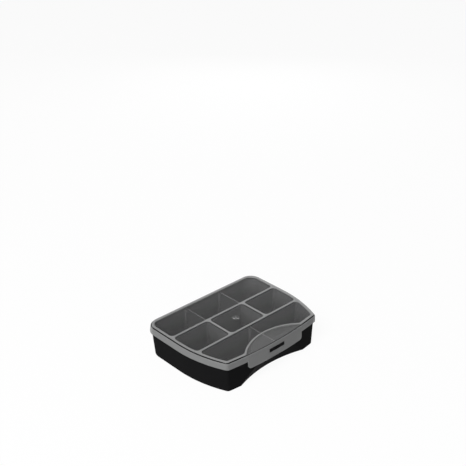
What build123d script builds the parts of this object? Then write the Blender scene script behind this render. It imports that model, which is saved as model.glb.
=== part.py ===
from build123d import *

import os
from dataclasses import dataclass, fields
from math import atan2, cos, degrees, hypot, pi, radians, sin, sqrt

# Compartment organizer box with a hinged see-through lid, in millimetres.
# X runs to the right, Y to the back and Z up. The origin is on the underside, under the middle of the lid.

# Overall form, taken at the lower edge of the lid's skirt
skirt_width = 177.6
skirt_front_y = -66.6
skirt_rear_y = 68.2
box_height = 40.8
sweep_start_y = 7.0
sweep_radius = 153.0
bow_radius = 490.0
rear_corner = 18.0
front_corner = 5.0

# Lid: how far its top edge lies inside the skirt's lower edge, its levels and its raised lines
side_flare = 0.6
front_flare = 0.5
rear_flare = 2.4
top_sweep_radius = 157.0
skirt_depth = 9.3
shoulder_drop = 0.9
shoulder_radius = 1.6
shoulder_steps = 4
lid_wall = 1.5
plate_thickness = 1.4
ridge_height = 1.3
ridge_width = 3.6
ridge_step = 0.5
ridge_edge_radius = 0.4
groove_inset = 0.5
groove_width = 1.0
groove_depth = 1.1
bar_width = 2.5
bar_height = 0.8
window_corner = 5.0
window_rear_corner = 10.0
window_front_corner = 3.0
tip_radius = 0.8
thumb_pad_radius = 69.5
thumb_pad_depth = 22.4
gate_y = 2.5
gate_radius = 4.8
gate_depth = 0.65
gate_nub_radius = 0.7
gate_nub_tip = 0.45
gate_nub_rise = 0.8

# Tray: how far its foot and its ledge lie inside the skirt's lower edge, and its walls
foot_side_inset = 3.9
foot_front_inset = 2.4
foot_rear_inset = 3.4
foot_sweep_start_y = 8.0
foot_sweep_radius = 157.0
foot_radius = 1.0
ledge_inset = 2.3
lid_gap = 0.4
rim_gap = 0.6
rim_wall = 1.7
tray_wall = 2.0
floor_thickness = 2.0
cell_wall = 1.6
cell_corner = 3.0
cell_floor_radius = 1.5
long_wall_back_y = 21.3
long_wall_front_y = -20.6
short_wall_x = 28.6

# Finger scoop in the tray's front: a slanting hollow that runs out behind the flap
scoop_radius = 178.0
scoop_depth = 11.7
scoop_height = 26.0
scoop_wall = 2.0

# Latch flap, and the lug that it catches on
flap_width = 88.0
flap_drop = 10.1
flap_corner = 4.0
flap_slit = 0.3
flap_web_gap = 0.3
slot_width = 24.4
slot_height = 4.8
slot_corner = 0.4
slot_drop = 2.4
lug_clearance = 0.4
lug_reach = 1.1
lug_ramp_height = 2.4
lug_ramp_depth = 1.0

# Loose dividers and their guide ribs
divider_thickness = 1.2
divider_gap = 0.2
divider_end_gap = 0.3
divider_headroom = 0.5
divider_foot_chamfer = 2.2
back_divider_x = 28.0
front_divider_x = 0.0
rib_thickness = 1.2
rib_reach = 4.0
rib_headroom = 2.4

# Hinges at the back
hinge_x = 45.0
pin_radius = 1.25
pin_chamfer = 0.2
pin_ear_clearance = 0.02
pin_knuckle_clearance = 0.06
knuckle_radius = 2.6
knuckle_length = 14.0
knuckle_side_gap = 0.3
knuckle_wall_gap = 0.5
knuckle_root = 1.2
ear_width = 4.0
heel_reach = 3.8
heel_drop = 1.1

# Levels and places that follow from the values above
skirt_bottom_z = box_height - skirt_depth
shoulder_z = box_height - shoulder_drop
groove_bottom_z = shoulder_z - groove_depth
plate_top_z = box_height - ridge_height
plate_bottom_z = plate_top_z - plate_thickness
rim_top_z = plate_bottom_z - lid_gap
ledge_z = skirt_bottom_z - lid_gap
ridge_inset = groove_inset + groove_width
window_inset = ridge_inset + ridge_width
flap_bottom_z = skirt_bottom_z - flap_drop
slot_bottom_z = skirt_bottom_z - slot_drop
divider_top_z = plate_bottom_z - divider_headroom
rib_top_z = plate_bottom_z - rib_headroom
far = 2 * skirt_width

# Tolerances for picking edges and corners
touch = 0.01
steep_angle = 25.0


@dataclass(frozen=True)
class Outline:
    """Plan outline, the same left and right: straight back and sides, swept-in front sides, bowed front."""

    half_width: float
    front_y: float
    rear_y: float
    sweep_start_y: float
    sweep_radius: float
    bow_radius: float
    rear_corner: float
    front_corner: float

    def inset(self, distance: float, rear_corner: float, front_corner: float) -> "Outline":
        """Return the parallel outline a distance further in, with its own corner radii."""
        return Outline(
            half_width=self.half_width - distance,
            front_y=self.front_y + distance,
            rear_y=self.rear_y - distance,
            sweep_start_y=self.sweep_start_y,
            sweep_radius=self.sweep_radius - distance,
            bow_radius=self.bow_radius - distance,
            rear_corner=rear_corner,
            front_corner=front_corner,
        )

    def parallel(self, distance: float) -> "Outline":
        """Return the parallel outline a distance further in, corners included."""
        return self.inset(distance, self.rear_corner - distance, self.front_corner - distance)

    def front_meeting(self) -> tuple[float, float]:
        """Return the point where the right side's sweep meets the front bow."""
        sweep_x = self.half_width - self.sweep_radius
        bow_y = self.front_y + self.bow_radius
        rise = self.sweep_start_y - bow_y
        span = hypot(sweep_x, rise)
        along = (self.bow_radius**2 - self.sweep_radius**2 + span**2) / (2 * span)
        across = sqrt(self.bow_radius**2 - along**2)
        x = (along * sweep_x - across * rise) / span
        y = bow_y + (along * rise + across * sweep_x) / span
        return x, y

    def face(self) -> Sketch:
        """Return the outline as a flat face at Z = 0."""
        corner_x, corner_y = self.front_meeting()
        sweep_x = self.half_width - self.sweep_radius
        half_turn = atan2(corner_y - self.sweep_start_y, corner_x - sweep_x) / 2
        middle_x = sweep_x + self.sweep_radius * cos(half_turn)
        middle_y = self.sweep_start_y + self.sweep_radius * sin(half_turn)
        side = [(self.half_width, self.rear_y), (self.half_width, self.sweep_start_y)]
        sweep = [side[1], (middle_x, middle_y), (corner_x, corner_y)]
        edges = [
            Line((-self.half_width, self.rear_y), side[0]),
            Line(*side),
            ThreePointArc(*sweep),
            ThreePointArc(sweep[2], (0, self.front_y), (-corner_x, corner_y)),
            ThreePointArc(*[(-x, y) for x, y in reversed(sweep)]),
            Line(*[(-x, y) for x, y in reversed(side)]),
        ]
        sharp = make_face(edges)
        rounded = fillet(sharp.vertices().sort_by(Axis.Y)[-2:], self.rear_corner)
        meeting = [v for v in rounded.vertices() if abs(v.Y - corner_y) < touch]
        return fillet(meeting, self.front_corner)


def between(lower: Outline, low_z: float, upper: Outline, high_z: float, z: float) -> Outline:
    """Return the outline at a level of the taper through two outlines, also past its ends."""
    share = (z - low_z) / (high_z - low_z)
    pairs = [(getattr(lower, field.name), getattr(upper, field.name)) for field in fields(Outline)]
    return Outline(*[low + share * (high - low) for low, high in pairs])


def lid_outline(z: float) -> Outline:
    """Return the outline of the lid's outer face at a level."""
    return between(skirt, skirt_bottom_z, lid_edge, shoulder_z, z)


def tray_outline(z: float) -> Outline:
    """Return the outline of the tray's outer face at a level under the ledge."""
    return between(foot, 0, ledge, ledge_z, z)


skirt = Outline(
    half_width=skirt_width / 2,
    front_y=skirt_front_y,
    rear_y=skirt_rear_y,
    sweep_start_y=sweep_start_y,
    sweep_radius=sweep_radius,
    bow_radius=bow_radius,
    rear_corner=rear_corner,
    front_corner=front_corner,
)
lid_edge = Outline(
    half_width=skirt_width / 2 - side_flare,
    front_y=skirt_front_y + front_flare,
    rear_y=skirt_rear_y - rear_flare,
    sweep_start_y=sweep_start_y,
    sweep_radius=top_sweep_radius,
    bow_radius=bow_radius - front_flare,
    rear_corner=rear_corner - rear_flare,
    front_corner=front_corner - front_flare,
)
foot = Outline(
    half_width=skirt_width / 2 - foot_side_inset,
    front_y=skirt_front_y + foot_front_inset,
    rear_y=skirt_rear_y - foot_rear_inset,
    sweep_start_y=foot_sweep_start_y,
    sweep_radius=foot_sweep_radius,
    bow_radius=bow_radius - foot_front_inset,
    rear_corner=rear_corner,
    front_corner=front_corner,
)
ledge = skirt.parallel(ledge_inset)
rim = lid_outline(plate_bottom_z).inset(lid_wall + rim_gap, ledge.rear_corner, ledge.front_corner)
hinge_y = ledge.rear_y + knuckle_wall_gap + knuckle_radius
hinge_z = ledge_z - knuckle_radius


def prism(section: Sketch, bottom_z: float, top_z: float) -> Part:
    """Return a section drawn at Z = 0 as a straight block between two levels."""
    return Pos(0, 0, bottom_z) * extrude(section, amount=top_z - bottom_z)


def block(x: tuple, y: tuple, z: tuple) -> Part:
    """Return a box between two limits on each axis."""
    size = [limits[1] - limits[0] for limits in (x, y, z)]
    middle = [(limits[1] + limits[0]) / 2 for limits in (x, y, z)]
    return Pos(*middle) * Box(*size)


def patch(x: tuple, y: tuple) -> Sketch:
    """Return a flat rectangle between two limits on each axis."""
    return Pos((x[0] + x[1]) / 2, (y[0] + y[1]) / 2) * Rectangle(x[1] - x[0], y[1] - y[0])


def tapered(lower: Outline, bottom_z: float, upper: Outline, top_z: float) -> Part:
    """Return the solid between two outlines at two levels."""
    return loft([Pos(0, 0, bottom_z) * lower.face(), Pos(0, 0, top_z) * upper.face()], ruled=True)


def along_x(radius: float, x: tuple, y: float, z: float) -> Part:
    """Return a round bar along X between two limits."""
    return Pos((x[0] + x[1]) / 2, y, z) * Rot(0, 90, 0) * Cylinder(radius, x[1] - x[0])


def edges_at(solid: Part, z: float) -> ShapeList:
    """Return the edges that lie flat at a level."""
    return solid.edges().filter_by_position(Axis.Z, z - touch, z + touch)


def runs_along(edge: Edge, axis: Axis) -> bool:
    """Tell whether an edge runs nearly along an axis at its middle."""
    return abs((edge % 0.5).dot(axis.direction)) > cos(radians(steep_angle))


def on_limits(item, x: tuple, y: tuple) -> bool:
    """Tell whether a vertex or an upright edge lies on one of the limits."""
    place = item.center()
    near_x = min(abs(place.X - limit) for limit in x)
    near_y = min(abs(place.Y - limit) for limit in y)
    return min(near_x, near_y) < touch


def row_limits() -> dict:
    """Return the Y limits of the three rows of compartments, between the middles of the long walls."""
    return {
        "back": (long_wall_back_y, far),
        "middle": (long_wall_front_y, long_wall_back_y),
        "front": (-far, long_wall_front_y),
    }


def compartments(spacing: float) -> list:
    """Return the X and Y limits of the moulded compartments, for walls or bars of one width."""
    rows = row_limits()
    half = spacing / 2
    columns = [(-far, -short_wall_x), (-short_wall_x, short_wall_x), (short_wall_x, far)]
    plan = [((-far, far), rows["back"]), ((-far, far), rows["front"])]
    plan += [(column, rows["middle"]) for column in columns]
    return [((x[0] + half, x[1] - half), (y[0] + half, y[1] - half)) for x, y in plan]


def scoop(growth: float) -> Part:
    """Return the leaning round body that hollows the tray's front, grown by a thickness."""
    foot_y = foot.front_y + scoop_depth
    lean = atan2(foot_y - tray_outline(scoop_height).front_y, scoop_height)
    length = 2 * (scoop_height + scoop_radius * sin(lean)) / cos(lean)
    body = Cylinder(scoop_radius + growth, length)
    return Pos(0, foot_y - scoop_radius / cos(lean), 0) * Rot(degrees(lean), 0, 0) * body


def cavity(clearance: float) -> Part:
    """Return the space inside the tray's outer walls, kept a clearance away from them."""
    lower = foot.inset(tray_wall + clearance, foot.rear_corner - tray_wall, cell_corner)
    upper = rim.inset(rim_wall + clearance, rim.rear_corner - rim_wall, cell_corner)
    return tapered(lower, floor_thickness, upper, rim_top_z)


def cell(space: Part, x: tuple, y: tuple) -> Part:
    """Return one moulded compartment, with rounded corners and floor edges."""
    room = space & block(x, y, (floor_thickness, rim_top_z))
    upright = [edge for edge in room.edges() if runs_along(edge, Axis.Z) and on_limits(edge, x, y)]
    room = fillet(upright, cell_corner)
    return fillet(edges_at(room, floor_thickness), cell_floor_radius)


def divider_seats() -> list:
    """Return each loose divider's name, X place and row limits."""
    rows = row_limits()
    return [
        ("divider_back_left", -back_divider_x, rows["back"]),
        ("divider_back_right", back_divider_x, rows["back"]),
        ("divider_front", front_divider_x, rows["front"]),
    ]


def guide_ribs() -> Part:
    """Return the ribs on both sides of each divider's two ends."""
    ribs = Part()
    inner = foot.parallel(tray_wall)
    offset = divider_thickness / 2 + divider_gap
    for _, x, row in divider_seats():
        front_end = max(row[0] + cell_wall / 2, inner.front_y) + rib_reach
        rear_end = min(row[1] - cell_wall / 2, inner.rear_y) - rib_reach
        for side in (x - offset - rib_thickness, x + offset):
            for y in ((row[0], front_end), (rear_end, row[1])):
                ribs += block((side, side + rib_thickness), y, (floor_thickness / 2, rib_top_z))
    return ribs


def ears() -> Part:
    """Return the tray's four hinge ears, each with a heel that stops the open lid."""
    inner_end = knuckle_length / 2 + knuckle_side_gap
    bottom_z = hinge_z - knuckle_radius
    solids = Part()
    for hinge in (-hinge_x, hinge_x):
        for start in (hinge - inner_end - ear_width, hinge + inner_end):
            x = (start, start + ear_width)
            ear = along_x(knuckle_radius, x, hinge_y, hinge_z)
            ear += block(x, (ledge.rear_y - tray_wall, hinge_y), (bottom_z, ledge_z))
            ear += block(x, (hinge_y, hinge_y + heel_reach), (bottom_z, hinge_z - heel_drop))
            solids += ear - along_x(pin_radius + pin_ear_clearance, x, hinge_y, hinge_z)
    return solids


def catch_lug() -> Part:
    """Return the lug in the flap's slot, with a ramp on top that the flap rides over."""
    back_y = rim.front_y + rim_wall / 2
    tip_y = lid_outline(skirt_bottom_z).front_y + lid_wall - lug_reach
    bottom_z = slot_bottom_z + lug_clearance
    top_z = slot_bottom_z + slot_height - lug_clearance
    profile = make_face(
        Polyline(
            (back_y, bottom_z),
            (tip_y, bottom_z),
            (tip_y, top_z - lug_ramp_height),
            (tip_y + lug_ramp_depth, top_z),
            (back_y, top_z),
            close=True,
        )
    )
    width = slot_width - 2 * lug_clearance
    return Pos(-width / 2, 0, 0) * extrude(Plane.YZ * profile, amount=width)


def base_tray() -> Part:
    """Return the tray with its compartments, ribs, scoop, lug and hinge ears."""
    outer = tapered(foot, 0, ledge, ledge_z)
    outer = fillet(edges_at(outer, 0), foot_radius)
    outer += prism(rim.face(), ledge_z, rim_top_z)
    space = cavity(0)
    inner_scoop = scoop(scoop_wall)
    tray = outer
    for x, y in compartments(cell_wall):
        tray -= cell(space, x, y) - inner_scoop
    tray += guide_ribs() & outer
    tray -= scoop(0)
    return tray + catch_lug() + ears()


def window(inner: Sketch, x: tuple, y: tuple) -> Sketch:
    """Return the plan of one recessed pane between the lid's ridges."""
    pane = inner & patch(x, y)
    corners = [vertex for vertex in pane.vertices() if on_limits(vertex, x, y)]
    return fillet(corners, window_corner)


def without_ring(plan: Sketch, ring_radius: float) -> Sketch:
    """Return a plan less the thumb pad's ring, with the tips where the ring leaves the plan rounded."""
    ring_y = lid_edge.front_y + thumb_pad_depth - thumb_pad_radius
    rest = plan - Pos(0, ring_y) * Circle(ring_radius)
    tips = [v for v in rest.vertices() if abs(hypot(v.X, v.Y - ring_y) - ring_radius) < touch]
    return fillet(tips, tip_radius)


def raised(plan: Sketch, height: float) -> Part:
    """Return a raised form on the lid's plate, with rounded top edges."""
    solid = prism(plan, plate_top_z, plate_top_z + height)
    return fillet(edges_at(solid, plate_top_z + height), ridge_edge_radius)


def raised_lines(top: Sketch) -> Part:
    """Return the lid's raised lines: low bars around the panes, and a higher ridge by the edge and the pad."""
    inner = lid_edge.inset(window_inset, window_rear_corner, window_front_corner).face()
    back, front, *middle = [window(inner, x, y) for x, y in compartments(bar_width)]
    ring = bar_width / 2
    bars = without_ring(top, thumb_pad_radius - ring)
    wide = lid_edge.inset(window_inset - ridge_step, window_rear_corner, window_front_corner).face()
    ridge = bars - without_ring(wide, thumb_pad_radius + ring - ridge_step)
    for pane in (back, without_ring(front, thumb_pad_radius + ring), *middle):
        bars -= pane
    return raised(bars, bar_height) + raised(ridge, ridge_height)


def outer_shell(bottom_z: float) -> Part:
    """Return the lid's outer form, filled, from a level up to its rounded shoulder."""
    sections = [Pos(0, 0, bottom_z) * lid_outline(bottom_z).face()]
    for step in range(shoulder_steps + 1):
        turn = pi / 2 * step / shoulder_steps
        z = shoulder_z - shoulder_radius * (1 - sin(turn))
        sections.append(Pos(0, 0, z) * lid_outline(z).parallel(shoulder_radius * (1 - cos(turn))).face())
    return loft(sections, ruled=True)


def inner_space(bottom_z: float) -> Part:
    """Return the space inside the lid's skirt, from a level up to the plate."""
    lower = lid_outline(bottom_z).parallel(lid_wall)
    return tapered(lower, bottom_z, lid_outline(plate_bottom_z).parallel(lid_wall), plate_bottom_z)


def flap_front(half_width: float, back_inset: float) -> Part:
    """Return the room in front of a line across the lid's front, as wide as the flap."""
    room = block((-half_width, half_width), (-far, 0), (0, far))
    return room - prism(lid_edge.parallel(back_inset).face(), 0, far)


def knuckles() -> Part:
    """Return the lid's two hinge knuckles, each with its root under the skirt."""
    solids = Part()
    root_y = (skirt.rear_y - lid_wall, hinge_y + knuckle_root)
    for hinge in (-hinge_x, hinge_x):
        x = (hinge - knuckle_length / 2, hinge + knuckle_length / 2)
        knuckle = along_x(knuckle_radius, x, hinge_y, hinge_z)
        knuckle += block(x, root_y, (hinge_z, skirt_bottom_z + knuckle_root))
        solids += knuckle - along_x(pin_radius + pin_knuckle_clearance, x, hinge_y, hinge_z)
    return solids


def gate_dish() -> Part:
    """Return the hollow of the shallow dish where the lid's moulding gate was."""
    ball_radius = (gate_radius**2 + gate_depth**2) / (2 * gate_depth)
    return Pos(0, gate_y, plate_top_z - gate_depth + ball_radius) * Sphere(ball_radius)


def gate_nub() -> Part:
    """Return the nub that the gate left in the middle of its dish."""
    height = gate_depth + gate_nub_rise
    middle_z = plate_top_z - gate_depth + height / 2
    return Pos(0, gate_y, middle_z) * Cone(gate_nub_radius, gate_nub_tip, height)


def lid() -> Part:
    """Return the lid without its flap."""
    top = lid_edge.parallel(ridge_inset).face()
    solid = outer_shell(skirt_bottom_z)
    solid -= prism(lid_edge.parallel(groove_inset).face(), groove_bottom_z, far)
    solid += prism(top, plate_bottom_z, plate_top_z) + raised_lines(top)
    solid -= inner_space(skirt_bottom_z)
    solid -= flap_front(flap_width / 2 + flap_slit, ridge_inset)
    return solid + knuckles() - gate_dish() + gate_nub()


def latch_flap() -> Part:
    """Return the flap: the skirt's front, carried down past its lower edge, with a slot for the lug."""
    wall = outer_shell(flap_bottom_z) - inner_space(flap_bottom_z)
    wall &= flap_front(flap_width / 2, ridge_inset - flap_web_gap)
    wall -= prism(lid_edge.parallel(groove_inset).face(), groove_bottom_z, far)
    ends = [edge for edge in edges_at(wall, flap_bottom_z) if runs_along(edge, Axis.Y)]
    wall = fillet(ends, flap_corner)
    slot_z = (slot_bottom_z, slot_bottom_z + slot_height)
    slot = block((-slot_width / 2, slot_width / 2), (-far, 0), slot_z)
    return wall - fillet(slot.edges().filter_by(Axis.Y), slot_corner)


def divider(x: float, row: tuple) -> Part:
    """Return one loose divider, standing on the tray's floor."""
    half = divider_thickness / 2
    inside = cell_wall / 2 + divider_end_gap
    room = block((x - half, x + half), (row[0] + inside, row[1] - inside), (floor_thickness, divider_top_z))
    sheet = room & cavity(divider_end_gap)
    feet = [edge for edge in edges_at(sheet, floor_thickness) if runs_along(edge, Axis.X)]
    return chamfer(feet, divider_foot_chamfer) - scoop(scoop_wall + divider_end_gap)


def hinge_pin(x: float) -> Part:
    """Return one hinge pin, through its knuckle and both ears."""
    half = knuckle_length / 2 + knuckle_side_gap + ear_width
    pin = along_x(pin_radius, (x - half, x + half), hinge_y, hinge_z)
    return chamfer(pin.edges().filter_by(GeomType.CIRCLE), pin_chamfer)


def pieces() -> dict:
    """Return every piece of the box by name."""
    made = {"base_tray": base_tray(), "lid": lid(), "latch_flap": latch_flap()}
    for name, x, row in divider_seats():
        made[name] = divider(x, row)
    made["hinge_pin_left"] = hinge_pin(-hinge_x)
    made["hinge_pin_right"] = hinge_pin(hinge_x)
    return made


os.makedirs("parts", exist_ok=True)
for name, solid in pieces().items():
    export_step(solid, f"parts/{name}.step")
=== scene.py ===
"""Dress the compartment organizer box and set it in a white studio.

The black tray, the milky lid with its latch flap, the loose dividers and the hinge pins come from the
frame. Each gets its finish, by face where it has several, and none is moved or reshaped.
"""

import logging
import math
from dataclasses import dataclass, field
from enum import Enum
from functools import reduce
from typing import Any, Iterable, Optional, Union

import bpy
from mathutils import Matrix, Vector
from mathutils.bvhtree import BVHTree


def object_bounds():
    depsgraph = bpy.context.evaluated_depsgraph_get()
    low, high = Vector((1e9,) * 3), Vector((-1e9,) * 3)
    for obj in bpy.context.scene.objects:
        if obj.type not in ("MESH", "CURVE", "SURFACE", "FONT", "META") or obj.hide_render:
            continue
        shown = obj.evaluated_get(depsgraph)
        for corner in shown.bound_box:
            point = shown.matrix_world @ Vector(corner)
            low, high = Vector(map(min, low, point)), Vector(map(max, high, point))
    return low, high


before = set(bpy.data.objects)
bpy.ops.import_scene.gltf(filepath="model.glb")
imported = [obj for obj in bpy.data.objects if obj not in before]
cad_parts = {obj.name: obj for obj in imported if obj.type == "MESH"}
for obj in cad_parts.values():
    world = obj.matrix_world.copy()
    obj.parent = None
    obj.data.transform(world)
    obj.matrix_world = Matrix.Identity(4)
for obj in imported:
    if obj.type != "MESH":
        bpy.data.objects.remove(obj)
cad_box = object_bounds()

log = logging.getLogger("organizer_box")

Colour = tuple[float, float, float]
Point = tuple[float, float, float]
Band = tuple[float, float]
Number = Union["Value", float]
Socket = bpy.types.NodeSocket
Sockets = dict[Union[str, int], Any]

MM = 0.001
WHITE: Colour = (1.0, 1.0, 1.0)
ALL_ROUND: tuple[Vector, ...] = tuple(
    Vector(look) for look in ((1, 0, 0), (-1, 0, 0), (0, 1, 0), (0, -1, 0))
)


def rgba(colour: Colour) -> tuple[float, float, float, float]:
    """Return a colour with full opacity, as a colour socket takes it."""
    return (*colour, 1.0)


def shaded(colour: Colour, by: float) -> Colour:
    """Return a colour made paler or darker by a factor, and never brighter than white."""
    return tuple(min(1.0, by * part) for part in colour)


class Value:
    """A number that varies over a surface, with Python's arithmetic."""

    def __init__(self, graph: "Graph", socket: Socket) -> None:
        """Wrap one output socket of a graph."""
        self.graph = graph
        self.socket = socket

    def _math(self, operation: str, *operands: Number) -> "Value":
        """Return the result of one Math node on the operands."""
        node = self.graph.node("ShaderNodeMath", {"operation": operation}, dict(enumerate(operands)))
        return Value(self.graph, node.outputs[0])

    def __add__(self, other: Number) -> "Value":
        """Return self + other."""
        return self._math("ADD", self, other)

    def __radd__(self, other: Number) -> "Value":
        """Return other + self."""
        return self._math("ADD", other, self)

    def __sub__(self, other: Number) -> "Value":
        """Return self - other."""
        return self._math("SUBTRACT", self, other)

    def __rsub__(self, other: Number) -> "Value":
        """Return other - self."""
        return self._math("SUBTRACT", other, self)

    def __mul__(self, other: Number) -> "Value":
        """Return self * other."""
        return self._math("MULTIPLY", self, other)

    def __rmul__(self, other: Number) -> "Value":
        """Return other * self."""
        return self._math("MULTIPLY", other, self)

    def __or__(self, other: Number) -> "Value":
        """Return the larger of two masks."""
        return self._math("MAXIMUM", self, other)

    def centred(self) -> "Value":
        """Return noise from 0 to 1 as a swing about zero."""
        return self - 0.5

    def step(self, low: float, high: float) -> "Value":
        """Return a soft step of the value.

        Args:
            low: Where the step leaves 0. It may be the larger of the two.
            high: Where the step reaches 1.

        Returns:
            The stepped value.
        """
        settings = {"interpolation_type": "SMOOTHSTEP"}
        sockets = {"Value": self, "From Min": low, "From Max": high}
        return Value(self.graph, self.graph.node("ShaderNodeMapRange", settings, sockets).outputs[0])


def largest(masks: Iterable[Value]) -> Value:
    """Return the largest of several masks."""
    return reduce(lambda first, second: first | second, masks)


class Graph:
    """The node tree of one material or of the world.

    A Mix node repeats its sockets' names for each kind of data, so its colour sockets go by number.
    FULL_EDGE is how far the rounded normal turns away on a full edge, as 1 less the cosine.
    """

    MIX_FACTOR = 0
    MIX_FIRST = 6
    MIX_SECOND = 7
    MIX_COLOUR = 2
    BEVEL_SAMPLES = 6
    FULL_EDGE = 0.25

    def __init__(self, owner: Union[bpy.types.Material, bpy.types.World]) -> None:
        """Empty the owner's node tree and start a new one.

        Args:
            owner: The material or the world.
        """
        owner.use_nodes = True
        self.tree = owner.node_tree
        self.tree.nodes.clear()
        self._place: Optional[Socket] = None

    def node(self, kind: str, settings: dict[str, Any], sockets: Sockets) -> bpy.types.Node:
        """Add one node.

        Args:
            kind: The node's type.
            settings: The node's own settings, set before its sockets.
            sockets: The value or the link of each input socket, by name or number.

        Returns:
            The new node.
        """
        node = self.tree.nodes.new(kind)
        for name, value in settings.items():
            setattr(node, name, value)
        for key, value in sockets.items():
            source = value.socket if isinstance(value, Value) else value
            if isinstance(source, Socket):
                self.tree.links.new(source, node.inputs[key])
            else:
                node.inputs[key].default_value = source
        return node

    def place(self) -> Socket:
        """Return the surface point in the object's own frame."""
        if self._place is None:
            self._place = self.node("ShaderNodeTexCoord", {}, {}).outputs["Object"]
        return self._place

    def height(self) -> Value:
        """Return the height of the surface point in the object's own frame."""
        return Value(self, self.node("ShaderNodeSeparateXYZ", {}, {0: self.place()}).outputs["Z"])

    def ray(self, kind: str) -> Value:
        """Return 1 for the rays that a Light Path output names, and 0 for all others."""
        return Value(self, self.node("ShaderNodeLightPath", {}, {}).outputs[kind])

    def seen_directly(self) -> Value:
        """Return 1 for rays from the camera, a reflection or a transmission, and 0 for the light itself."""
        return largest(self.ray(f"Is {kind} Ray") for kind in ("Camera", "Glossy", "Transmission"))

    def stretched(self, scale: Point, turn: float = 0.0) -> Socket:
        """Return the surface point turned about Z and scaled along each axis."""
        sockets = {"Vector": self.place(), "Rotation": (0.0, 0.0, turn), "Scale": scale}
        return self.node("ShaderNodeMapping", {}, sockets).outputs[0]

    def noise(
        self,
        size: float,
        detail: float = 2.0,
        rough: float = 0.5,
        at: Optional[Socket] = None,
    ) -> Value:
        """Return noise from 0 to 1.

        Args:
            size: Size of its largest lumps, in metres.
            detail: Number of finer layers.
            rough: Strength of each finer layer.
            at: Point to read it at, if not the surface point.

        Returns:
            The noise value.
        """
        sockets = {
            "Vector": at or self.place(),
            "Scale": 1.0 / size,
            "Detail": detail,
            "Roughness": rough,
        }
        return Value(self, self.node("ShaderNodeTexNoise", {}, sockets).outputs[0])

    def pits(self, size: float) -> Value:
        """Return the distance to the nearest of many scattered points, for a spark-eroded grain."""
        sockets = {"Vector": self.place(), "Scale": 1.0 / size}
        return Value(self, self.node("ShaderNodeTexVoronoi", {}, sockets).outputs[0])

    def mould_grain(self, pit: float, speck: float, pit_share: float) -> Value:
        """Return the height of the grain that a spark-eroded mould leaves.

        Args:
            pit: Size of its pits, in metres.
            speck: Size of the specks between them, in metres.
            pit_share: Share of the height that the pits make.

        Returns:
            The height, from 0 to about 1.
        """
        return self.pits(pit) * pit_share + self.noise(speck) * (1.0 - pit_share)

    def edges(self, radius: float) -> tuple[Value, Socket]:
        """Return a mask of the edges, and the normal with the edges rounded.

        Args:
            radius: Radius of the rounding, in metres.

        Returns:
            The mask, which is 1 on sharp edges, and the rounded normal.
        """
        settings = {"samples": self.BEVEL_SAMPLES}
        rounded = self.node("ShaderNodeBevel", settings, {"Radius": radius}).outputs[0]
        true = self.node("ShaderNodeNewGeometry", {}, {}).outputs["Normal"]
        facing = self.node("ShaderNodeVectorMath", {"operation": "DOT_PRODUCT"}, {0: rounded, 1: true})
        turned_away = 1.0 - Value(self, facing.outputs["Value"])
        return turned_away.step(0.0, self.FULL_EDGE), rounded

    def blend(self, factor: Value, first: Union[Colour, Socket], second: Union[Colour, Socket]) -> Socket:
        """Return a colour between two colours.

        Args:
            factor: 0 for the first colour and 1 for the second.
            first: A colour, or the socket of one.
            second: A colour, or the socket of one.

        Returns:
            The blended colour.
        """
        start, end = (rgba(colour) if isinstance(colour, tuple) else colour for colour in (first, second))
        settings = {"data_type": "RGBA", "clamp_factor": True}
        sockets = {self.MIX_FACTOR: factor, self.MIX_FIRST: start, self.MIX_SECOND: end}
        return self.node("ShaderNodeMix", settings, sockets).outputs[self.MIX_COLOUR]

    def bump(self, height: Value, depth: float, normal: Socket) -> Socket:
        """Return a normal roughened by a height.

        Args:
            height: The height, from 0 to 1.
            depth: What a height of 1 measures, in metres.
            normal: The normal to start from.

        Returns:
            The new normal.
        """
        sockets = {"Strength": 1.0, "Distance": depth, "Height": height, "Normal": normal}
        return self.node("ShaderNodeBump", {}, sockets).outputs[0]

    def mixed(self, factor: Value, first: bpy.types.Node, second: bpy.types.Node) -> Socket:
        """Return a shader between two shaders."""
        sockets = {0: factor, 1: first.outputs[0], 2: second.outputs[0]}
        return self.node("ShaderNodeMixShader", {}, sockets).outputs[0]

    def surface(self, sockets: Sockets) -> None:
        """End a material's graph in a Principled shader with these sockets."""
        self.output(self.node("ShaderNodeBsdfPrincipled", {}, sockets).outputs[0])

    def output(self, shader: Socket) -> None:
        """End a material's graph in this shader."""
        self.node("ShaderNodeOutputMaterial", {}, {0: shader})


@dataclass(frozen=True)
class Scratches:
    """Fine long scratches along one direction in plan, gathered in patches."""

    turn: float
    spacing: float
    drawn_out: Point = (0.03, 1.0, 1.0)
    line: Band = (0.66, 0.72)
    patch_spacings: float = 18.0
    patch: Band = (0.5, 0.68)

    def mask(self, graph: Graph) -> Value:
        """Scratch a surface.

        Args:
            graph: The graph of the surface's material.

        Returns:
            A mask that is 1 on the scratches.
        """
        along = graph.noise(self.spacing, detail=1.0, at=graph.stretched(self.drawn_out, self.turn))
        patches = graph.noise(self.spacing * self.patch_spacings)
        return along.step(*self.line) * patches.step(*self.patch)


class Side(Enum):
    """Which side of the tray a face lies on: the textured outside or the smooth inside."""

    OUTSIDE = "outside"
    INSIDE = "inside"


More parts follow.
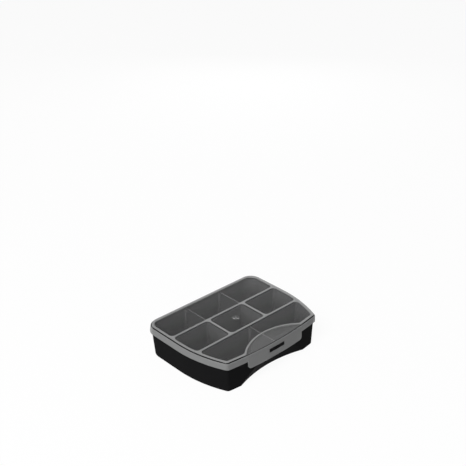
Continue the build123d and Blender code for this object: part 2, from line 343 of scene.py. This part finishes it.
@dataclass(frozen=True)
class BlackPlastic:
    """The tray's black plastic, with the grain that its mould gave it, worn edges and scuffs, and, where
    set, painted shade that leaves its walls darker lower down and paler near the top.
    """

    name: str
    colour: Colour
    pale_tone: Colour
    roughness: float
    gloss: float
    grain: float
    grain_depth: float
    painted_depth_shade: float
    worn: float
    pit_share: float = 0.7
    speck_share: float = 0.6
    cloud_size: float = 22.0 * MM
    cloud_paler: float = 1.35
    cloud_rough: float = 0.12
    mottle_size: float = 2.5 * MM
    mottle_rough: float = 0.16
    edge_radius: float = 0.35 * MM
    edge_polish: float = 0.06
    wear_size: float = 3.0 * MM
    wear_band: Band = (0.38, 0.72)
    scuffs: tuple[Scratches, ...] = (
        Scratches(turn=0.4, spacing=0.7 * MM),
        Scratches(turn=-1.1, spacing=0.9 * MM),
    )
    scuff_rub: float = 0.35
    foot_heights: Band = (2.6 * MM, 0.2 * MM)
    foot_band: Band = (0.4, 0.7)
    foot_rub: float = 0.5
    # Heights over which the painted shade fades: darker below the first, paler above the second.
    painted_shade_heights: Band = (8.0 * MM, 40.0 * MM)

    def paler_mask(self, graph: Graph, mottle: Value, edge: Value) -> Value:
        """Wear the plastic at its edges, in scuffs and at its foot, and add painted shade: paler near the
        top, darker lower down.

        Args:
            graph: The material's graph.
            mottle: The fine noise that breaks up the rubbing at the foot.
            edge: The mask of the edges.

        Returns:
            A mask that is 1 where the plastic is worn, and where it is painted paler near the top.
        """
        height = graph.height()
        wear = edge * graph.noise(self.wear_size, detail=4.0, rough=0.6).step(*self.wear_band)
        scuff = largest(scratches.mask(graph) for scratches in self.scuffs)
        foot = height.step(*self.foot_heights) * mottle.step(*self.foot_band)
        # Painted shade by height alone: the walls turn paler towards the top and stay dark deeper down.
        depth_shade_mask = height.step(*self.painted_shade_heights) * self.painted_depth_shade
        return (wear * self.worn) | (scuff * self.scuff_rub) | (foot * self.foot_rub) | depth_shade_mask

    def material(self) -> bpy.types.Material:
        """Make the plastic.

        Returns:
            The finished material.
        """
        made = bpy.data.materials.new(self.name)
        graph = Graph(made)
        cloud = graph.noise(self.cloud_size, detail=3.0)
        mottle = graph.noise(self.mottle_size, detail=3.0)
        edge, rounded = graph.edges(self.edge_radius)
        clouded = graph.blend(cloud, self.colour, shaded(self.colour, self.cloud_paler))
        uneven = mottle.centred() * self.mottle_rough + cloud.centred() * self.cloud_rough
        grain = graph.mould_grain(self.grain, self.grain * self.speck_share, self.pit_share)
        graph.surface(
            {
                "Base Color": graph.blend(self.paler_mask(graph, mottle, edge), clouded, self.pale_tone),
                "Roughness": self.roughness + uneven - edge * self.edge_polish,
                "Specular IOR Level": self.gloss,
                "Normal": graph.bump(grain, self.grain_depth, rounded),
            }
        )
        return made


TRAY_FINISHES: dict[Side, BlackPlastic] = {
    Side.OUTSIDE: BlackPlastic(
        name="black_plastic_textured",
        colour=(0.0096, 0.0096, 0.0100),
        pale_tone=(0.020, 0.020, 0.021),
        roughness=0.68,
        gloss=0.012,
        grain=0.45 * MM,
        grain_depth=0.02 * MM,
        painted_depth_shade=0.0,
        worn=0.8,
    ),
    Side.INSIDE: BlackPlastic(
        name="black_plastic_smooth_painted_shade",
        colour=(0.014, 0.014, 0.0145),
        pale_tone=(0.105, 0.105, 0.107),
        roughness=0.34,
        gloss=0.25,
        grain=0.5 * MM,
        grain_depth=0.004 * MM,
        # Painted shade on the inside: walls paler near the top, darker towards the floor.
        painted_depth_shade=0.85,
        worn=0.3,
    ),
}


class Region(Enum):
    """Where a face of the lid lies, which sets how clear and how smooth it is, and where a dark painted
    shade goes on the walls of the groove and the slot.
    """

    PANE = "pane"
    PAD = "thumb_pad"
    RIDGE = "ridge"
    SKIRT = "skirt"
    # Painted shade: the walls of the groove and of the slot, dark and nearly opaque.
    PAINTED_SHADE = "groove"
    GATE = "gate_mark"


@dataclass(frozen=True)
class MilkyPlastic:
    """The lid's milky plastic: how much of it scatters light, and how its mould was finished.

    Lamplight passes through it more freely than the view does. Its edges are painted paler and more opaque:
    a painted highlight.
    """

    name: str
    colour: Colour
    haze: float
    haze_spread: float
    roughness: float
    ior: float
    grain: float
    grain_depth: float
    scratched: float
    edge_radius: float = 0.25 * MM
    # Painted highlight: how much more opaque and how much paler the edges are.
    edge_highlight_haze: float = 0.08
    edge_highlight: float = 0.7
    paler: float = 1.5
    glow_through: float = 0.7
    pit_share: float = 0.6
    speck_share: float = 0.5
    cloud_size: float = 26.0 * MM
    cloud_haze: float = 0.9
    cloud_rough: float = 0.08
    flow_size: float = 5.0 * MM
    flow_drawn_out: Point = (0.18, 1.0, 1.0)
    flow_haze: float = 0.5
    mottle_size: float = 3.0 * MM
    mottle_haze: float = 0.4
    mottle_rough: float = 0.12
    scratches: tuple[Scratches, ...] = (
        Scratches(turn=0.55, spacing=0.55 * MM),
        Scratches(turn=-0.8, spacing=0.7 * MM),
        Scratches(turn=2.0, spacing=0.45 * MM),
    )
    scratch_haze: float = 0.10
    scratch_rough: float = 0.25

    def material(self) -> bpy.types.Material:
        """Make the plastic.

        Returns:
            The finished material.
        """
        made = bpy.data.materials.new(self.name)
        graph = Graph(made)
        cloud = graph.noise(self.cloud_size, detail=3.0).centred()
        flow = graph.noise(self.flow_size, at=graph.stretched(self.flow_drawn_out)).centred()
        mottle = graph.noise(self.mottle_size, detail=4.0, rough=0.6).centred()
        edge, rounded = graph.edges(self.edge_radius)
        scratch = largest(scratches.mask(graph) for scratches in self.scratches) * self.scratched
        change = cloud * self.cloud_haze + flow * self.flow_haze + mottle * self.mottle_haze
        haze = self.haze * (1.0 + change * self.haze_spread)
        # Painted highlight: the edges are more opaque, and so paler.
        haze = haze + edge * self.edge_highlight_haze + scratch * self.scratch_haze
        uneven = mottle * self.mottle_rough + cloud * self.cloud_rough + scratch * self.scratch_rough
        # Scratches whiten the plastic; the edges are painted paler as a painted highlight.
        scratches_and_edge_highlight = (edge * self.edge_highlight) | scratch
        grain = graph.mould_grain(self.grain, self.grain * self.speck_share, self.pit_share)
        graph.surface(
            {
                "Base Color": graph.blend(scratches_and_edge_highlight, self.colour, shaded(self.colour, self.paler)),
                "Roughness": self.roughness + uneven,
                "IOR": self.ior,
                "Alpha": haze * (1.0 - graph.ray("Is Shadow Ray") * self.glow_through),
                "Normal": graph.bump(grain, self.grain_depth, rounded),
            }
        )
        return made


LID_FINISHES: dict[Region, MilkyPlastic] = {
    Region.PANE: MilkyPlastic(
        name="milky_lid_clear_pane",
        colour=(0.20, 0.202, 0.202),
        haze=0.092,
        haze_spread=0.30,
        roughness=0.32,
        ior=1.5,
        grain=0.5 * MM,
        grain_depth=0.0003 * MM,
        scratched=0.30,
    ),
    Region.PAD: MilkyPlastic(
        name="milky_lid_frosted_pad",
        colour=(0.40, 0.403, 0.403),
        haze=0.22,
        haze_spread=0.20,
        roughness=0.55,
        ior=1.5,
        grain=0.45 * MM,
        grain_depth=0.02 * MM,
        scratched=0.15,
    ),
    Region.RIDGE: MilkyPlastic(
        name="milky_lid_ridge",
        colour=(0.290, 0.293, 0.293),
        haze=0.72,
        haze_spread=0.10,
        roughness=0.38,
        ior=1.5,
        grain=0.5 * MM,
        grain_depth=0.008 * MM,
        scratched=0.20,
    ),
    Region.SKIRT: MilkyPlastic(
        name="milky_lid_skirt",
        colour=(0.270, 0.273, 0.273),
        haze=0.74,
        haze_spread=0.10,
        roughness=0.42,
        ior=1.45,
        grain=0.5 * MM,
        grain_depth=0.008 * MM,
        scratched=0.20,
        # A wider edge band, so the painted edge highlight shows along the skirt.
        edge_radius=0.6 * MM,
    ),
    # Painted shade: near black and nearly opaque, in the groove and on the slot's walls.
    Region.PAINTED_SHADE: MilkyPlastic(
        name="milky_lid_groove_painted_shade",
        colour=(0.015, 0.015, 0.015),
        haze=0.85,
        haze_spread=0.10,
        roughness=0.6,
        ior=1.2,
        grain=0.5 * MM,
        grain_depth=0.008 * MM,
        scratched=0.0,
    ),
    Region.GATE: MilkyPlastic(
        name="milky_lid_gate_dish",
        colour=(0.10, 0.101, 0.101),
        haze=0.45,
        haze_spread=0.10,
        roughness=0.15,
        ior=1.6,
        grain=0.5 * MM,
        grain_depth=0.0,
        scratched=0.0,
    ),
}


@dataclass(frozen=True)
class DividerPlastic:
    """The dividers' thin satin sheet, a little paler than the tray, with faint drag marks."""

    name: str = "divider_satin_plastic"
    colour: Colour = (0.030, 0.030, 0.031)
    pale_tone: Colour = (0.055, 0.055, 0.056)
    roughness: float = 0.34
    gloss: float = 0.4
    grain: float = 0.4 * MM
    grain_depth: float = 0.008 * MM
    edge_radius: float = 0.25 * MM
    edge_rub: float = 0.75
    cloud_size: float = 9.0 * MM
    cloud_band: Band = (0.45, 0.7)
    cloud_rough: float = 0.14
    drag_size: float = 0.8 * MM
    drag_drawn_out: Point = (1.0, 1.0, 0.06)
    drag_band: Band = (0.62, 0.75)
    drag_rub: float = 0.35
    drag_rough: float = 0.10

    def material(self) -> bpy.types.Material:
        """Make the plastic.

        Returns:
            The finished material.
        """
        made = bpy.data.materials.new(self.name)
        graph = Graph(made)
        cloud = graph.noise(self.cloud_size, detail=3.0)
        drag = graph.noise(self.drag_size, at=graph.stretched(self.drag_drawn_out))
        edge, rounded = graph.edges(self.edge_radius)
        dragged = drag.step(*self.drag_band) * cloud.step(*self.cloud_band)
        paler_mask = (edge * self.edge_rub) | (dragged * self.drag_rub)
        uneven = cloud.centred() * self.cloud_rough + drag.centred() * self.drag_rough
        graph.surface(
            {
                "Base Color": graph.blend(paler_mask, self.colour, self.pale_tone),
                "Roughness": self.roughness + uneven,
                "Specular IOR Level": self.gloss,
                "Normal": graph.bump(graph.pits(self.grain), self.grain_depth, rounded),
            }
        )
        return made


@dataclass(frozen=True)
class DrawnSteel:
    """The hinge pins' drawn wire, with lines along it."""

    name: str = "drawn_steel_wire"
    colour: Colour = (0.56, 0.56, 0.55)
    dull: Colour = (0.36, 0.35, 0.34)
    roughness: float = 0.28
    edge_radius: float = 0.12 * MM
    edge_polish: float = 0.05
    line_size: float = 0.16 * MM
    line_drawn_out: Point = (0.02, 1.0, 1.0)
    line_depth: float = 0.006 * MM
    line_rough: float = 0.22
    stain_size: float = 1.6 * MM
    stain_band: Band = (0.5, 0.75)
    stain_dull: float = 0.7
    stain_rough: float = 0.12

    def material(self) -> bpy.types.Material:
        """Make the steel.

        Returns:
            The finished material.
        """
        made = bpy.data.materials.new(self.name)
        graph = Graph(made)
        drawn_out = graph.stretched(self.line_drawn_out)
        lines = graph.noise(self.line_size, detail=3.0, rough=0.6, at=drawn_out)
        stain = graph.noise(self.stain_size, detail=4.0, rough=0.6).step(*self.stain_band)
        edge, rounded = graph.edges(self.edge_radius)
        uneven = lines.centred() * self.line_rough + stain * self.stain_rough
        graph.surface(
            {
                "Base Color": graph.blend(stain * self.stain_dull, self.colour, self.dull),
                "Metallic": 1.0,
                "Roughness": self.roughness + uneven - edge * self.edge_polish,
                "Normal": graph.bump(lines, self.line_depth, rounded),
            }
        )
        return made


@dataclass(frozen=True)
class StudioPaper:
    """The pale floor: white where the camera or a reflection sees it, with a weak shadow of the box."""

    name: str = "studio_paper"
    colour: Colour = (0.97, 0.97, 0.97)
    bounce: Colour = (0.30, 0.30, 0.30)
    shadow: float = 0.07
    fibre_size: float = 1.2 * MM
    fibre_shade: float = 0.98

    def material(self) -> bpy.types.Material:
        """Make the paper.

        Returns:
            The finished material.
        """
        made = bpy.data.materials.new(self.name)
        graph = Graph(made)
        fibre = graph.noise(self.fibre_size, detail=3.0)
        seen = graph.seen_directly()
        white = graph.blend(fibre, self.colour, shaded(self.colour, self.fibre_shade))
        colour = graph.blend(seen, self.bounce, white)
        paper = graph.node("ShaderNodeBsdfDiffuse", {}, {"Color": colour})
        glow = graph.node("ShaderNodeEmission", {}, {"Color": rgba(WHITE), "Strength": 1.0})
        graph.output(graph.mixed(seen * (1.0 - self.shadow), paper, glow))
        return made


@dataclass
class Tray:
    """The black tray that carries everything else.

    A face is inside where walls of the tray stand all round it.
    """

    node: str = "base_tray"
    floor: float = 2.0 * MM
    lift: float = 0.3 * MM
    reach: float = 200.0 * MM
    facing_down: float = -0.5
    smooth_angle: float = 32.0

    def side(self, tree: BVHTree, middle: Vector, normal: Vector) -> Side:
        """Return which side of the tray a face lies on.

        Args:
            tree: The tray's faces.
            middle: The face's middle.
            normal: The face's normal.

        Returns:
            The side.
        """
        if middle.z < self.floor - self.lift or normal.z < self.facing_down:
            return Side.OUTSIDE
        start = middle + normal * self.lift
        walled = all(tree.ray_cast(start, look, self.reach)[0] is not None for look in ALL_ROUND)
        return Side.INSIDE if walled else Side.OUTSIDE

    def dress(self) -> list[bpy.types.Object]:
        """Give each side of the tray its plastic.

        Returns:
            The tray.
        """
        materials = {side: finish.material() for side, finish in TRAY_FINISHES.items()}
        order = list(materials)
        piece = dressed(self.node, list(materials.values()), self.smooth_angle)
        corners = [vertex.co for vertex in piece.data.vertices]
        tree = BVHTree.FromPolygons(corners, [polygon.vertices for polygon in piece.data.polygons])
        for polygon in piece.data.polygons:
            polygon.material_index = order.index(self.side(tree, polygon.center, polygon.normal))
        return [piece]


@dataclass
class Lid:
    """The see-through lid and its latch flap.

    The plate's heights, the thumb pad's ring, the gate mark and the slot say what a face is part of.
    """

    node: str = "lid"
    flap_node: str = "latch_flap"
    plate_top: float = 39.5 * MM
    plate_bottom: float = 38.1 * MM
    groove_bottom: float = 38.8 * MM
    pad_radius: float = 69.5 * MM
    pad_ring_y: float = -113.2 * MM
    gate_y: float = 2.5 * MM
    gate_radius: float = 4.8 * MM
    nub_radius: float = 0.7 * MM
    slot_half_width: float = 12.2 * MM
    slot_top: float = 33.9 * MM
    slot_wall_turn: float = 0.3
    level: float = 0.999
    near: float = 0.06 * MM
    smooth_angle: float = 32.0

    def region(self, middle: Vector, normal: Vector, low: float) -> Region:
        """Return where a face of the lid or the flap lies.

        Args:
            middle: The face's middle.
            normal: The face's normal.
            low: The height of the face's lowest corner.

        Returns:
            The region of the lid.
        """
        from_gate = math.hypot(middle.x, middle.y - self.gate_y)
        if from_gate < self.gate_radius and middle.z > self.plate_bottom + self.near:
            return Region.RIDGE if from_gate < self.nub_radius else Region.GATE
        if normal.z > self.level and abs(middle.z - self.plate_top) < self.near:
            from_ring_middle = math.hypot(middle.x, middle.y - self.pad_ring_y)
            return Region.PAD if from_ring_middle < self.pad_radius else Region.PANE
        if normal.z < -self.level and abs(middle.z - self.plate_bottom) < self.near:
            return Region.PANE
        # Faces that reach down to the groove's floor or to the plate's underside get the painted shade.
        if min(abs(low - self.groove_bottom), abs(low - self.plate_bottom)) < self.near:
            return Region.PAINTED_SHADE
        # The slot's side walls get the painted shade too.
        between_ends = abs(middle.x) < self.slot_half_width + self.near
        in_slot = between_ends and middle.z < self.slot_top + self.near
        if in_slot and abs(normal.y) < self.slot_wall_turn:
            return Region.PAINTED_SHADE
        return Region.RIDGE if low > self.plate_top - self.near else Region.SKIRT

    def dress(self) -> list[bpy.types.Object]:
        """Give each region of the lid and the flap its finish.

        Returns:
            The lid and the flap.
        """
        materials = {region: finish.material() for region, finish in LID_FINISHES.items()}
        order = list(materials)
        shown = []
        for name in (self.node, self.flap_node):
            piece = dressed(name, list(materials.values()), self.smooth_angle)
            corners = piece.data.vertices
            for polygon in piece.data.polygons:
                low = min(corners[index].co.z for index in polygon.vertices)
                polygon.material_index = order.index(self.region(polygon.center, polygon.normal, low))
            crease_between_finishes(piece.data)
            shown.append(piece)
        return shown


@dataclass
class Dividers:
    """The loose sheets that split the front and back rows."""

    nodes: tuple[str, ...] = ("divider_back_left", "divider_back_right", "divider_front")
    smooth_angle: float = 30.0
    finish: DividerPlastic = field(default_factory=DividerPlastic)

    def dress(self) -> list[bpy.types.Object]:
        """Give the dividers their plastic and return them."""
        material = self.finish.material()
        return [dressed(node, [material], self.smooth_angle) for node in self.nodes]


@dataclass
class HingePins:
    """The two wire pins of the hinge."""

    nodes: tuple[str, ...] = ("hinge_pin_left", "hinge_pin_right")
    smooth_angle: float = 40.0
    finish: DrawnSteel = field(default_factory=DrawnSteel)

    def dress(self) -> list[bpy.types.Object]:
        """Give the pins their steel and return them."""
        material = self.finish.material()
        return [dressed(node, [material], self.smooth_angle) for node in self.nodes]


def dressed(node: str, materials: list[bpy.types.Material], smooth_angle: float) -> bpy.types.Object:
    """Give a piece of the frame its materials and smooth shading.

    Args:
        node: The piece's name.
        materials: Its materials, in the order of its slots.
        smooth_angle: Angle in degrees over which an edge stays sharp.

    Returns:
        The piece.
    """
    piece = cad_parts[node]
    piece.data.materials.clear()
    for material in materials:
        piece.data.materials.append(material)
    piece.data.shade_smooth()
    piece.data.set_sharp_from_angle(angle=math.radians(smooth_angle))
    return piece


def crease_between_finishes(mesh: bpy.types.Mesh) -> None:
    """Keep the shading sharp along the edges where one finish meets another.

    Args:
        mesh: The mesh, with a finish set on each face.
    """
    finish: dict[tuple[int, int], int] = {}
    meeting = set()
    for polygon in mesh.polygons:
        for key in polygon.edge_keys:
            if finish.setdefault(key, polygon.material_index) != polygon.material_index:
                meeting.add(key)
    for edge in mesh.edges:
        if edge.key in meeting:
            edge.use_edge_sharp = True


def turned(back: Vector) -> Matrix:
    """Return the turn of a camera or lamp that looks against a direction, with its top upwards."""
    return back.to_track_quat("Z", "Y").to_matrix().to_4x4()


@dataclass(frozen=True)
class Lamp:
    """One square soft lamp.

    Its level is how bright it makes a white sheet that faces it at the target, with 1 for white.
    """

    name: str
    towards: Point
    distance: float
    size: float
    level: float

    def light(self, target: Vector) -> bpy.types.Object:
        """Hang the lamp.

        Args:
            target: The point it faces.

        Returns:
            The lamp.
        """
        data = bpy.data.lights.new(self.name, "AREA")
        data.shape = "SQUARE"
        data.size = self.size
        data.energy = self.level * math.pi**2 * self.distance**2
        lamp = bpy.data.objects.new(self.name, data)
        back = Vector(self.towards).normalized()
        lamp.matrix_world = Matrix.Translation(target + back * self.distance) @ turned(back)
        bpy.context.collection.objects.link(lamp)
        return lamp


@dataclass
class Studio:
    """Floor, soft lamps, white surroundings and the camera."""

    floor_size: float = 6.0
    floor_step: float = 0.25
    floor_gap: float = 0.2 * MM
    paper: StudioPaper = field(default_factory=StudioPaper)
    ambient: float = 0.20
    target: Point = (0.0, 0.0, 0.02)
    lamps: tuple[Lamp, ...] = (
        Lamp(name="key_lamp", towards=(-0.66, -0.22, 0.72), distance=2.6, size=1.4, level=0.98),
        Lamp(name="backdrop_lamp", towards=(0.67, 0.65, 0.34), distance=1.3, size=0.5, level=0.14),
    )
    camera_place: Point = (-0.57209, -0.59574, 0.57138)
    camera_azimuth: float = -43.49
    camera_elevation: float = 26.808
    lens: float = 62.879
    sensor: float = 36.0

    def lay_floor(self) -> bpy.types.Object:
        """Lay the floor as a grid of squares just under the box.

        Returns:
            The floor.
        """
        steps = round(self.floor_size / self.floor_step)
        row = steps + 1
        lines = [index * self.floor_step - self.floor_size / 2.0 for index in range(row)]
        points = [(x, y, 0.0) for y in lines for x in lines]
        firsts = [row * j + i for j in range(steps) for i in range(steps)]
        faces = [(first, first + 1, first + row + 1, first + row) for first in firsts]
        mesh = bpy.data.meshes.new("studio_floor")
        mesh.from_pydata(points, [], faces)
        mesh.materials.append(self.paper.material())
        floor = bpy.data.objects.new("studio_floor", mesh)
        floor.location.z = cad_box[0][2] - self.floor_gap
        bpy.context.collection.objects.link(floor)
        return floor

    def light_up(self) -> None:
        """Hang the lamps and set the surroundings, which are white where they are seen."""
        for lamp in self.lamps:
            lamp.light(Vector(self.target))
        world = bpy.data.worlds.new("studio")
        bpy.context.scene.world = world
        graph = Graph(world)
        light = graph.node("ShaderNodeBackground", {}, {"Color": rgba(WHITE), "Strength": self.ambient})
        backdrop = graph.node("ShaderNodeBackground", {}, {"Color": rgba(WHITE), "Strength": 1.0})
        graph.node("ShaderNodeOutputWorld", {}, {0: graph.mixed(graph.seen_directly(), light, backdrop)})

    def set_camera(self) -> None:
        """Set the camera at the photograph's viewing angle."""
        data = bpy.data.cameras.new("camera")
        data.sensor_width = self.sensor
        data.lens = self.lens
        camera = bpy.data.objects.new("camera", data)
        turn = math.radians(self.camera_azimuth)
        rise = math.radians(self.camera_elevation)
        out = math.cos(rise)
        back = Vector((math.sin(turn) * out, -math.cos(turn) * out, math.sin(rise)))
        camera.matrix_world = Matrix.Translation(Vector(self.camera_place)) @ turned(back)
        bpy.context.collection.objects.link(camera)
        bpy.context.scene.camera = camera

    def build(self) -> None:
        """Make the whole studio."""
        self.lay_floor()
        self.light_up()
        self.set_camera()
        bpy.context.scene.view_settings.view_transform = "Standard"


def main() -> None:
    """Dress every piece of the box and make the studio."""
    logging.basicConfig(level=logging.INFO, format="%(name)s: %(message)s")
    for part in (Tray(), Dividers(), HingePins(), Lid()):
        for piece in part.dress():
            log.info("%s: %s, %d faces", type(part).__name__, piece.name, len(piece.data.polygons))
    Studio().build()


if __name__ == "__main__":
    main()
